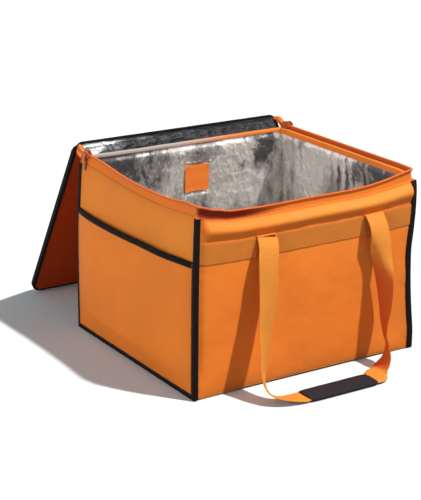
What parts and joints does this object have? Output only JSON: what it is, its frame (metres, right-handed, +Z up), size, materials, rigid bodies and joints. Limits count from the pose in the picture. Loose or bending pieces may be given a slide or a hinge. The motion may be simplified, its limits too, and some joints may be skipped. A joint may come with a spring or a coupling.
{
  "type": "insulated delivery bag",
  "caption": "Boxy insulated carrier with foil lining and padded walls, a zip round its open mouth, a hinged lid folded back, a side pocket and carrying straps with padded grips",
  "frame": {"origin": "centre of the base's underside, on the floor", "axes": "+Z up, -Y towards the front wall with its carrying strap, -X towards the side wall with the pocket"},
  "size_m": [0.4683, 0.7344, 0.3416],
  "materials": {
    "outer_cloth": "coated woven polyester, slightly glossy",
    "webbing": "ribbed polyester webbing",
    "black_binding": "matt woven tape",
    "foil_lining": "crinkled metallised film",
    "foam": "soft closed-cell padding",
    "stiffener_board": "smooth sheet",
    "zip_coil": "moulded coil teeth",
    "grip_sleeve": "padded woven sleeve",
    "zip_metal": "painted zip hardware"
  },
  "bodies": {
    "bag_body": {"front_panel": "outer_cloth", "back_panel": "outer_cloth", "left_panel": "outer_cloth", "right_panel": "outer_cloth", "base_panel": "outer_cloth", "front_foam": "foam", "back_foam": "foam", "left_foam": "foam", "right_foam": "foam", "base_foam": "foam", "base_board": "stiffener_board", "front_lining": "foil_lining", "back_lining": "foil_lining", "left_lining": "foil_lining", "right_lining": "foil_lining", "base_lining": "foil_lining", "left_seam_binding": "black_binding", "right_seam_binding": "black_binding", "rim_facing": "outer_cloth", "body_zip_tape": "outer_cloth", "body_zip_coil": "zip_coil", "front_band": "webbing", "rear_band": "webbing", "front_left_strap_anchor": "webbing", "front_right_strap_anchor": "webbing", "rear_left_strap_anchor": "webbing", "rear_right_strap_anchor": "webbing", "pocket_panel": "outer_cloth", "pocket_binding": "black_binding", "lining_patch": "outer_cloth"},
    "hinge_gusset": {"gusset_outer": "outer_cloth", "gusset_lining": "foil_lining"},
    "lid": {"lid_outer": "outer_cloth", "lid_foam": "foam", "lid_lining": "foil_lining", "lid_binding": "black_binding", "hinge_binding": "black_binding", "lid_zip_tape": "black_binding", "lid_zip_coil": "black_binding"},
    "front_handle": {"front_handle_webbing": "webbing", "front_grip": "grip_sleeve"},
    "rear_handle": {"rear_handle_webbing": "webbing", "rear_grip": "grip_sleeve"},
    "left_zip_slider": {"left_slider": "zip_metal"},
    "left_zip_pull": {"left_pull_tab": "zip_metal"},
    "right_zip_slider": {"right_slider": "zip_metal"},
    "right_zip_pull": {"right_pull_tab": "zip_metal"}
  },
  "joints": [
    {"name": "gusset_fold", "type": "hinge", "parent": "bag_body", "child": "hinge_gusset", "pos_m": [0, 0.2, 0.3178], "axis": [1, 0, 0], "range_deg": [0, 44.74]},
    {"name": "lid_swing", "type": "hinge", "parent": "hinge_gusset", "child": "lid", "pos_m": [0, 0.222, 0.34], "axis": [1, 0, 0], "range_deg": [0, 194.76]},
    {"name": "front_handle_swing", "type": "hinge", "parent": "bag_body", "child": "front_handle", "pos_m": [-0.09205, -0.20312, 0.26145], "axis": [-0.9998, -0.0001, -0.0189], "range_deg": [0, 139]},
    {"name": "rear_handle_swing", "type": "hinge", "parent": "bag_body", "child": "rear_handle", "pos_m": [-0.11066, 0.208, 0.2719], "axis": [1, 0, 0], "range_deg": [0, 14]},
    {"name": "left_slider_travel", "type": "slide", "parent": "bag_body", "child": "left_zip_slider", "axis": [0, -0.9998, -0.0201], "range_m": [0, 0.339]},
    {"name": "left_pull_flip", "type": "hinge", "parent": "left_zip_slider", "child": "left_zip_pull", "pos_m": [-0.22378, 0.178, 0.33159], "axis": [0, 1, 0], "range_deg": [0, 100]},
    {"name": "right_slider_travel", "type": "slide", "parent": "bag_body", "child": "right_zip_slider", "axis": [0, -1, 0.0025], "range_m": [0, 0.339]},
    {"name": "right_pull_flip", "type": "hinge", "parent": "right_zip_slider", "child": "right_zip_pull", "pos_m": [0.22378, 0.178, 0.33205], "axis": [0, -1, 0], "range_deg": [0, 100]}
  ]
}
